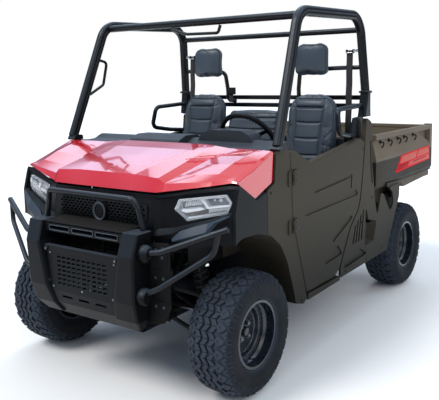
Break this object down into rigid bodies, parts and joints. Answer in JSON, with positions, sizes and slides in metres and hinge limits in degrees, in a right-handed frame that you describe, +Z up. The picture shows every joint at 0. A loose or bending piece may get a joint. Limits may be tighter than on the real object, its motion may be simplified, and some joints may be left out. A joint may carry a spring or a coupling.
{
  "type": "side by side utility vehicle",
  "caption": "Open three-seat off-road utility vehicle with a tubular cage, half doors, front guard and a tilting cargo bed.",
  "frame": {"origin": "on the ground, in the middle of the bounding box", "axes": "+X to the vehicle's left, +Y to its rear, +Z up; the front faces -Y"},
  "size_m": [1.5568, 3.224, 1.9777],
  "materials": {
    "tyre_rubber": "matt black rubber",
    "wheel_steel": "satin black paint",
    "black_steel": "satin black powder coat",
    "frame_steel": "satin dark grey paint",
    "grey_plastic": "textured dark grey plastic",
    "dash_plastic": "textured blue grey plastic",
    "black_plastic": "moulded black plastic",
    "red_plastic": "gloss red",
    "seat_vinyl": "black grained vinyl",
    "webbing": "black webbing",
    "lamp_lens": "clear faceted lens over bright reflectors",
    "tail_lens": "red lens",
    "cast_alloy": "as cast",
    "bare_steel": "brushed"
  },
  "bodies": {
    "chassis": {"rear_hub_carriers": "frame_steel", "suspension_arms": "black_steel", "coil_over_dampers": "bare_steel", "final_drives": "cast_alloy", "drive_shafts": "bare_steel", "engine": "cast_alloy", "exhaust": "bare_steel", "main_frame": "frame_steel", "skid_plate": "black_steel", "front_fascia": "grey_plastic", "grille_panel": "black_plastic", "headlights": "lamp_lens", "front_guard": "black_steel", "guard_tubes": "black_steel", "radiator": "cast_alloy", "front_fenders": "grey_plastic", "sill_panels": "grey_plastic", "rear_quarter_panels": "grey_plastic", "cage_sides": "black_steel", "rear_pillar_bases": "black_steel", "cage_crossbars": "black_steel", "grab_handles": "black_steel", "floor_tub": "black_plastic", "seat_base": "black_plastic", "seat_cushions": "seat_vinyl", "seat_backs": "seat_vinyl", "head_restraints": "seat_vinyl", "seat_belts": "webbing", "dash": "dash_plastic", "steering_column": "black_steel"},
    "front_left_road_wheel": {"front_left_tyre": "tyre_rubber", "front_left_wheel": "wheel_steel"},
    "front_right_road_wheel": {"front_right_tyre": "tyre_rubber", "front_right_wheel": "wheel_steel"},
    "rear_left_road_wheel": {"rear_left_tyre": "tyre_rubber", "rear_left_wheel": "wheel_steel"},
    "rear_right_road_wheel": {"rear_right_tyre": "tyre_rubber", "rear_right_wheel": "wheel_steel"},
    "left_knuckle": {"front_left_knuckle": "frame_steel"},
    "right_knuckle": {"front_right_knuckle": "frame_steel"},
    "rack": {"steering_rack": "bare_steel"},
    "hand_wheel": {"steering_wheel": "black_plastic"},
    "hood_panel": {"hood": "red_plastic"},
    "left_side_door": {"left_door": "grey_plastic"},
    "right_side_door": {"right_door": "grey_plastic"},
    "cargo_bed": {"bed_box": "grey_plastic", "tail_lights": "tail_lens"},
    "bed_gate": {"tailgate": "grey_plastic"},
    "strut_barrel": {"bed_strut_barrel": "black_steel"},
    "strut_rod": {"bed_strut_rod": "bare_steel"}
  },
  "joints": [
    {"name": "front_left_wheel_spin", "type": "hinge", "parent": "left_knuckle", "child": "front_left_road_wheel", "pos_m": [0.648, -1.134, 0.312], "axis": [1, 0, 0], "continuous": true},
    {"name": "front_right_wheel_spin", "type": "hinge", "parent": "right_knuckle", "child": "front_right_road_wheel", "pos_m": [-0.648, -1.134, 0.312], "axis": [1, 0, 0], "continuous": true},
    {"name": "rear_left_wheel_spin", "type": "hinge", "parent": "chassis", "child": "rear_left_road_wheel", "pos_m": [0.648, 0.956, 0.312], "axis": [1, 0, 0], "continuous": true},
    {"name": "rear_right_wheel_spin", "type": "hinge", "parent": "chassis", "child": "rear_right_road_wheel", "pos_m": [-0.648, 0.956, 0.312], "axis": [1, 0, 0], "continuous": true},
    {"name": "left_steer", "type": "hinge", "parent": "chassis", "child": "left_knuckle", "pos_m": [0.55, -1.134, 0.312], "axis": [0, 0, 1], "range_deg": [-30, 30]},
    {"name": "right_steer", "type": "hinge", "parent": "chassis", "child": "right_knuckle", "pos_m": [-0.55, -1.134, 0.312], "axis": [0, 0, 1], "range_deg": [-30, 30]},
    {"name": "rack_travel", "type": "slide", "parent": "chassis", "child": "rack", "axis": [1, 0, 0], "range_m": [-0.037, 0.037]},
    {"name": "hand_wheel_turn", "type": "hinge", "parent": "chassis", "child": "hand_wheel", "pos_m": [0.35, -0.584, 1.225], "axis": [0, 0.8191, 0.5736], "range_deg": [-450, 450]},
    {"name": "hood_hinge", "type": "hinge", "parent": "chassis", "child": "hood_panel", "pos_m": [0, -1.388, 1.066], "axis": [1, 0, 0], "range_deg": [0, 60]},
    {"name": "left_door_hinge", "type": "hinge", "parent": "chassis", "child": "left_side_door", "pos_m": [0.769, -0.794, 0.92], "axis": [0, 0, -1], "range_deg": [0, 65]},
    {"name": "right_door_hinge", "type": "hinge", "parent": "chassis", "child": "right_side_door", "pos_m": [-0.769, -0.794, 0.92], "axis": [0, 0, 1], "range_deg": [0, 65]},
    {"name": "bed_tilt", "type": "hinge", "parent": "chassis", "child": "cargo_bed", "pos_m": [0, 1.426, 0.782], "axis": [-1, 0, 0], "range_deg": [0, 40]},
    {"name": "tailgate_hinge", "type": "hinge", "parent": "cargo_bed", "child": "bed_gate", "pos_m": [0, 1.556, 0.862], "axis": [-1, 0, 0], "range_deg": [0, 90]},
    {"name": "strut_swing", "type": "hinge", "parent": "chassis", "child": "strut_barrel", "pos_m": [0.2, 0.796, 0.47], "axis": [1, 0, 0], "range_deg": [0, 10]},
    {"name": "strut_slide", "type": "slide", "parent": "strut_barrel", "child": "strut_rod", "axis": [0, 0.7071, 0.7071], "range_m": [0, 0.215]}
  ],
  "couplings": [
    {"joint": "right_steer", "follows": "left_steer", "ratio": 1},
    {"joint": "rack_travel", "follows": "left_steer", "m_per_rad": 0.07},
    {"joint": "hand_wheel_turn", "follows": "left_steer", "ratio": 15},
    {"joint": "strut_swing", "follows": "bed_tilt", "ratio": 0.2335},
    {"joint": "strut_slide", "follows": "bed_tilt", "m_per_rad": 0.3}
  ]
}
